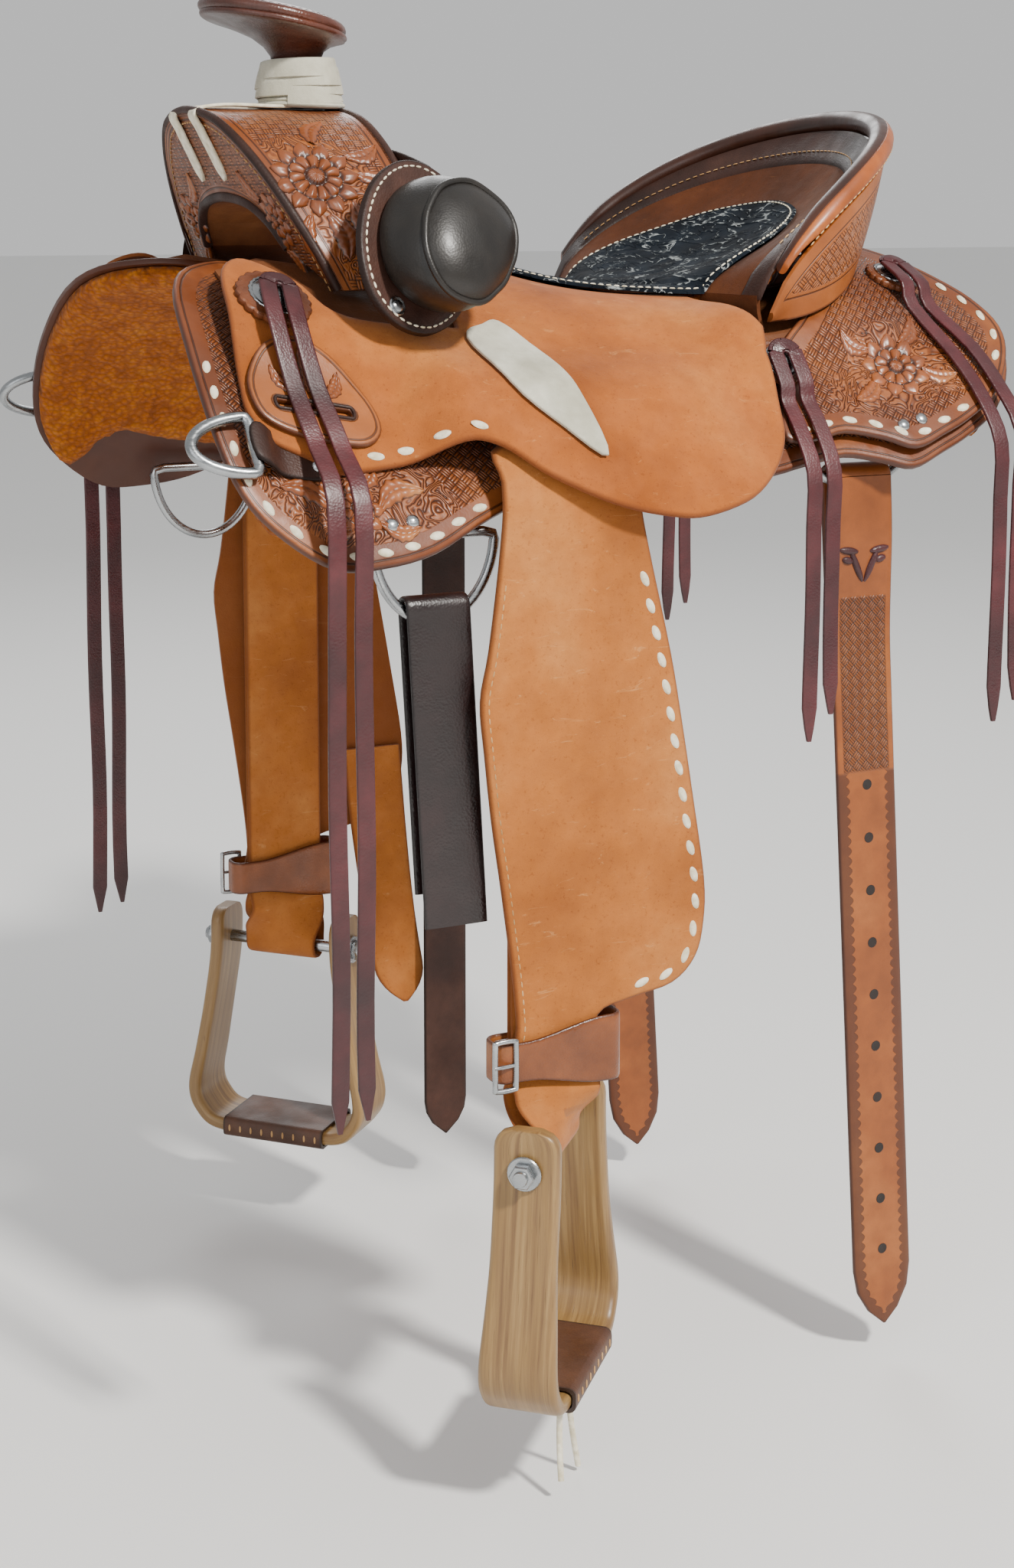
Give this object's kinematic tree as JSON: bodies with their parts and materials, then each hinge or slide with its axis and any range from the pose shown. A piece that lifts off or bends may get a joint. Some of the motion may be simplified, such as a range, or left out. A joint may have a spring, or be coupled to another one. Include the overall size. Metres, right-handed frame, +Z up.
{
  "type": "western saddle",
  "caption": "Western stock saddle with a slick fork and horn, swept cantle, padded front rolls, tooled skirts, fleece lining, fenders, wooden stirrups, hanging straps and thongs.",
  "frame": {"origin": "on the centre plane at the middle of the skirts' length, level with the rear rigging rings, in the channel where the horse's back would be", "axes": "+Z up, +X towards the cantle and the horse's tail, -Y the near (left) side where a rider mounts"},
  "size_m": [0.6558, 0.6358, 0.9829],
  "materials": {
    "rough_out_leather": "rough-out, matt",
    "tooled_leather": "tooled and antiqued",
    "dark_leather": "smooth dark brown",
    "latigo_leather": "oiled",
    "burgundy_thong": "latigo lace",
    "mulehide": "napped cream",
    "black_leather": "padded black",
    "inlay_leather": "blue-black, creased",
    "fleece": "sheared wool",
    "rawhide": "rawhide over wood",
    "steel": "stainless",
    "stirrup_wood": "oiled oak"
  },
  "bodies": {
    "saddle": {"cantle_back": "tooled_leather", "cantle_board": "rawhide", "cantle_dish": "rough_out_leather", "cantle_roll": "dark_leather", "concho_back_near": "steel", "concho_back_off": "steel", "concho_front_near": "steel", "concho_front_off": "steel", "concho_rear_near": "steel", "concho_rear_off": "steel", "fork_cover": "tooled_leather", "ground_seat": "rawhide", "horn": "dark_leather", "horn_wrap": "mulehide", "latigo_keeper_near": "tooled_leather", "latigo_keeper_off": "tooled_leather", "rear_dee_near": "steel", "rear_dee_off": "steel", "rear_housing_near": "tooled_leather", "rear_housing_off": "tooled_leather", "roll_pad_near": "black_leather", "roll_pad_off": "black_leather", "roll_plates": "dark_leather", "roll_tail_near": "mulehide", "roll_tail_off": "mulehide", "seat_inlay": "inlay_leather", "seat_leather": "rough_out_leather", "skirt_fleece_near": "fleece", "skirt_fleece_off": "fleece", "skirt_near": "tooled_leather", "skirt_off": "tooled_leather", "strings_back_near": "burgundy_thong", "strings_back_off": "burgundy_thong", "strings_front_near": "burgundy_thong", "strings_front_off": "burgundy_thong", "strings_rear_near": "burgundy_thong", "strings_rear_off": "burgundy_thong", "tree_bar_near": "rawhide", "tree_bar_off": "rawhide", "tree_fork": "rawhide"},
    "near_fender": {"fender_near": "rough_out_leather", "stirrup_leather_near": "rough_out_leather", "hobble_strap_near": "tooled_leather"},
    "off_fender": {"fender_off": "rough_out_leather", "stirrup_leather_off": "rough_out_leather", "hobble_strap_off": "tooled_leather"},
    "near_stirrup": {"stirrup_near": "stirrup_wood", "stirrup_tread_near": "dark_leather", "stirrup_bolt_near": "steel"},
    "off_stirrup": {"stirrup_off": "stirrup_wood", "stirrup_tread_off": "dark_leather", "stirrup_bolt_off": "steel"},
    "near_front_dee": {"front_dee_near": "steel"},
    "off_front_dee": {"front_dee_off": "steel"},
    "latigo": {"latigo": "latigo_leather"},
    "near_breast_dee": {"breast_dee_near": "steel"},
    "off_breast_dee": {"breast_dee_off": "steel"},
    "off_billet": {"off_billet": "dark_leather"},
    "near_flank_billet": {"flank_billet_near": "tooled_leather"},
    "off_flank_billet": {"flank_billet_off": "tooled_leather"}
  },
  "joints": [
    {"name": "near_fender_swing", "type": "hinge", "parent": "saddle", "child": "near_fender", "pos_m": [-0.094, -0.2415, 0], "axis": [0, 1, 0], "range_deg": [-15, 20], "deforming": ["strings_front_near"]},
    {"name": "off_fender_swing", "type": "hinge", "parent": "saddle", "child": "off_fender", "pos_m": [-0.102, 0.2415, 0], "axis": [0, 1, 0], "range_deg": [-7, 20], "deforming": ["strings_front_off", "off_billet"]},
    {"name": "near_stirrup_pivot", "type": "hinge", "parent": "near_fender", "child": "near_stirrup", "pos_m": [-0.1, -0.2415, -0.45], "axis": [0.6871, 0.7266, 0], "range_deg": [-25, 25]},
    {"name": "off_stirrup_pivot", "type": "hinge", "parent": "off_fender", "child": "off_stirrup", "pos_m": [-0.108, 0.2415, -0.45], "axis": [0.6871, -0.7266, 0], "range_deg": [-25, 25]},
    {"name": "near_front_dee_swing", "type": "hinge", "parent": "saddle", "child": "near_front_dee", "pos_m": [-0.178, -0.226, -0.038], "axis": [-1, 0, 0], "range_deg": [-15, 0]},
    {"name": "off_front_dee_swing", "type": "hinge", "parent": "saddle", "child": "off_front_dee", "pos_m": [-0.178, 0.226, -0.038], "axis": [1, 0, 0], "range_deg": [-15, 3]},
    {"name": "latigo_swing", "type": "hinge", "parent": "near_front_dee", "child": "latigo", "pos_m": [-0.1725, -0.2263, -0.0847], "axis": [-1, 0, 0], "range_deg": [-8, 0]},
    {"name": "near_breast_dee_lift", "type": "hinge", "parent": "saddle", "child": "near_breast_dee", "pos_m": [-0.3, -0.22816, 0.02498], "axis": [0, 0.579, 0.8153], "range_deg": [0, 35]},
    {"name": "off_breast_dee_lift", "type": "hinge", "parent": "saddle", "child": "off_breast_dee", "pos_m": [-0.3, 0.22816, 0.02498], "axis": [0, 0.579, -0.8153], "range_deg": [0, 35]},
    {"name": "off_billet_swing", "type": "hinge", "parent": "saddle", "child": "off_billet", "pos_m": [0.035, 0.228, -0.022], "axis": [0, 1, 0], "range_deg": [-12, 3]},
    {"name": "near_flank_billet_swing", "type": "hinge", "parent": "saddle", "child": "near_flank_billet", "pos_m": [0.1843, -0.1919, -0.0205], "axis": [-1, 0, 0], "range_deg": [-10, 10]},
    {"name": "off_flank_billet_swing", "type": "hinge", "parent": "saddle", "child": "off_flank_billet", "pos_m": [0.1843, 0.1919, -0.0205], "axis": [1, 0, 0], "range_deg": [-10, 10]}
  ]
}
